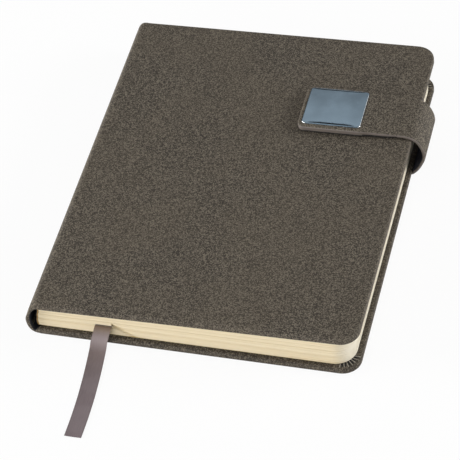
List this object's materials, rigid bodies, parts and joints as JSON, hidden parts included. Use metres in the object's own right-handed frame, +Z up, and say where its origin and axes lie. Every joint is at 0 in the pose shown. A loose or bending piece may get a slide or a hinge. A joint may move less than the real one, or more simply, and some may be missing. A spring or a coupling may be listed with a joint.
{
  "type": "notebook",
  "caption": "Hardcover journal with a rounded spine, folded signatures, a ribbon marker, and a strap with a magnetic tip that closes over the front cover.",
  "frame": {"origin": "middle of the back cover's underside, on the surface that the closed journal lies on", "axes": "+X from the spine to the fore-edge, +Y from the tail to the head, +Z up from the back cover to the front cover"},
  "size_m": [0.1775, 0.2702, 0.0294],
  "materials": {
    "leatherette": "matt grained leatherette",
    "lining": "dark lining",
    "greyboard": "plain greyboard",
    "paper": "uncoated cream paper",
    "endpaper": "uncoated ivory endpaper",
    "glue": "dried binding glue",
    "band": "woven head band",
    "ribbon": "satin ribbon",
    "plate": "polished gunmetal",
    "magnet": "plain steel"
  },
  "bodies": {
    "back_cover": {"back_skin": "leatherette", "back_board": "greyboard", "back_pastedown": "endpaper", "back_flyleaf": "endpaper", "strap_root": "leatherette", "lower_signature_1": "paper", "lower_signature_2": "paper", "lower_signature_3": "paper", "lower_signature_4": "paper", "lower_signature_5": "paper", "lower_glue": "glue", "tail_band_lower": "band", "head_band_lower": "band", "ribbon_inner": "ribbon", "ribbon_tail": "ribbon"},
    "spine": {"spine_skin": "leatherette", "spine_stiffener": "greyboard", "spine_lining": "lining"},
    "front_joint": {"joint_skin": "leatherette", "joint_lining": "lining"},
    "front_cover": {"front_skin": "leatherette", "front_board": "greyboard", "front_pastedown": "endpaper", "cover_keeper": "magnet"},
    "front_pages": {"front_flyleaf": "endpaper", "upper_signature_1": "paper", "upper_signature_2": "paper", "upper_signature_3": "paper", "upper_signature_4": "paper", "upper_signature_5": "paper", "upper_signature_6": "paper", "upper_signature_7": "paper", "upper_glue": "glue", "tail_band_upper": "band", "head_band_upper": "band"},
    "strap_low": {"strap_low_leather": "leatherette", "strap_low_lining": "lining"},
    "strap_high": {"strap_high_leather": "leatherette", "strap_high_lining": "lining"},
    "strap_tip": {"tip_leather": "leatherette", "tip_lining": "lining", "neck_lining": "lining", "tip_magnet": "magnet", "tip_plate": "plate"}
  },
  "joints": [
    {"name": "spine_joint", "type": "hinge", "parent": "back_cover", "child": "spine", "pos_m": [-0.081, 0, 0], "axis": [0, -1, 0], "range_deg": [0, 90]},
    {"name": "strip_joint", "type": "hinge", "parent": "spine", "child": "front_joint", "pos_m": [-0.081, 0, 0.022], "axis": [0, -1, 0], "range_deg": [0, 88.7]},
    {"name": "cover_joint", "type": "hinge", "parent": "front_joint", "child": "front_cover", "pos_m": [-0.07631, 0, 0.02251], "axis": [0, 1, 0], "range_deg": [-186, 0]},
    {"name": "pages_fold", "type": "hinge", "parent": "back_cover", "child": "front_pages", "pos_m": [-0.0813, 0, 0.01115], "axis": [0, -1, 0], "range_deg": [0, 178.7]},
    {"name": "strap_root_bend", "type": "hinge", "parent": "back_cover", "child": "strap_low", "pos_m": [0.081, 0.0478, 0], "axis": [0, 1, 0], "range_deg": [0, 45]},
    {"name": "strap_middle_bend", "type": "hinge", "parent": "strap_low", "child": "strap_high", "pos_m": [0.0896, 0.0478, 0.0135], "axis": [0, 1, 0], "range_deg": [0, 90]},
    {"name": "strap_tip_bend", "type": "hinge", "parent": "strap_high", "child": "strap_tip", "pos_m": [0.07, 0.0478, 0.02903], "axis": [0, 1, 0], "range_deg": [0, 45]}
  ],
  "couplings": [
    {"joint": "spine_joint", "follows": "pages_fold", "ratio": 0.5036},
    {"joint": "strip_joint", "follows": "pages_fold", "ratio": 0.4963}
  ]
}
